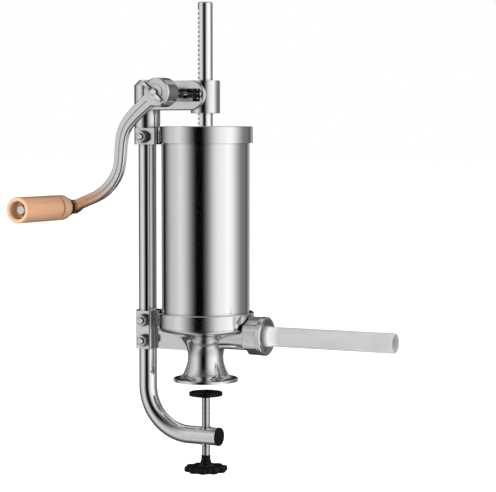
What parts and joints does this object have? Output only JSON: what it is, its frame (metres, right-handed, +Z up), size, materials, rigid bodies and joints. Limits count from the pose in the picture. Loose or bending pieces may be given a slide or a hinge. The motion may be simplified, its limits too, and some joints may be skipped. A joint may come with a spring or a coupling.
{
  "type": "sausage stuffer",
  "caption": "Clamp-on vertical sausage stuffer: hand crank and rack drive a piston down a steel cylinder into a side spout with a stuffing tube.",
  "frame": {"origin": "centre of the trumpet foot's underside, which rests on the table", "axes": "+Z up along the cylinder axis; +X from the post towards the spout; -Y is the crank side"},
  "size_m": [0.3995, 0.2656, 0.5725],
  "materials": {
    "castings": "polished casting",
    "tubes": "polished tube",
    "cylinder": "fine brushed",
    "steel": "machined",
    "fasteners": "zinc plated",
    "bushes": "sintered bronze",
    "wood": "varnished",
    "black_plastic": "satin",
    "white_plastic": "milky translucent",
    "seals": "silicone"
  },
  "bodies": {
    "frame": {"clamp_tube": "tubes", "upper_post": "tubes", "tube_end_plug": "black_plastic", "base_casting": "castings", "head_casting": "castings", "base_bolts": "fasteners", "base_nuts": "fasteners", "base_washers": "fasteners", "head_bolt": "fasteners", "head_nut": "fasteners", "head_washers": "fasteners", "front_bush": "bushes", "rear_bush": "bushes", "housing_cover": "castings", "cover_screws": "fasteners", "clamp_insert": "fasteners", "nozzle_gasket": "seals"},
    "crank": {"crank_arm": "castings", "drive_shaft": "steel", "pinion_gear": "steel", "gear_key": "steel", "shaft_clip": "steel", "grip_bolt": "fasteners", "grip_nut": "fasteners", "grip_ferrule": "steel"},
    "grip": {"grip": "wood"},
    "ram": {"rack_rod": "steel", "piston": "steel", "piston_seal": "seals", "piston_screw": "fasteners", "piston_washer": "fasteners"},
    "hub_washer": {"crank_washer": "fasteners"},
    "hub_screw": {"wing_screw": "castings"},
    "barrel": {"cylinder": "cylinder"},
    "lid": {"cylinder_lid": "cylinder"},
    "pad": {"clamp_pad": "black_plastic", "pad_clip": "fasteners"},
    "screw": {"clamp_screw": "fasteners", "clamp_knob": "black_plastic"},
    "tube": {"stuffing_tube": "white_plastic"},
    "ring_nut": {"nozzle_nut": "castings"}
  },
  "joints": [
    {"name": "crank_turn", "type": "hinge", "parent": "frame", "child": "crank", "pos_m": [-0.0185, 0, 0.35], "axis": [0, 1, 0], "range_deg": [-566, 370]},
    {"name": "rack_lift", "type": "slide", "parent": "frame", "child": "ram", "axis": [0, 0, 1], "range_m": [-0.079, 0.121]},
    {"name": "grip_spin", "type": "hinge", "parent": "crank", "child": "grip", "pos_m": [-0.1355, -0.15, 0.2135], "axis": [0, 1, 0], "continuous": true},
    {"name": "washer_slide", "type": "slide", "parent": "crank", "child": "hub_washer", "axis": [0, -1, 0], "range_m": [0, 0.00625]},
    {"name": "wing_turn", "type": "hinge", "parent": "hub_washer", "child": "hub_screw", "pos_m": [-0.0185, -0.09, 0.35], "axis": [0, -1, 0], "range_deg": [0, 2251]},
    {"name": "cylinder_lift", "type": "slide", "parent": "frame", "child": "barrel", "axis": [0, 0, 1], "range_m": [0, 0.0075]},
    {"name": "lid_lift", "type": "slide", "parent": "barrel", "child": "lid", "axis": [0, 0, 1], "range_m": [0, 0.0075]},
    {"name": "pad_rise", "type": "slide", "parent": "frame", "child": "pad", "axis": [0, 0, 1], "range_m": [-0.037, 0.012]},
    {"name": "screw_turn", "type": "hinge", "parent": "pad", "child": "screw", "pos_m": [0, 0, -0.06], "axis": [0, 0, 1], "range_deg": [-8881, 2881]},
    {"name": "tube_draw", "type": "slide", "parent": "frame", "child": "tube", "axis": [1, 0, 0], "range_m": [0, 0.015]},
    {"name": "nut_turn", "type": "hinge", "parent": "tube", "child": "ring_nut", "pos_m": [0.07, 0, 0.0585], "axis": [1, 0, 0], "range_deg": [0, 1801]}
  ],
  "couplings": [
    {"joint": "crank_turn", "follows": "rack_lift", "rad_per_m": -81.633},
    {"joint": "wing_turn", "follows": "washer_slide", "rad_per_m": 6283.2},
    {"joint": "screw_turn", "follows": "pad_rise", "rad_per_m": 4188.8},
    {"joint": "nut_turn", "follows": "tube_draw", "rad_per_m": 2094.4}
  ]
}
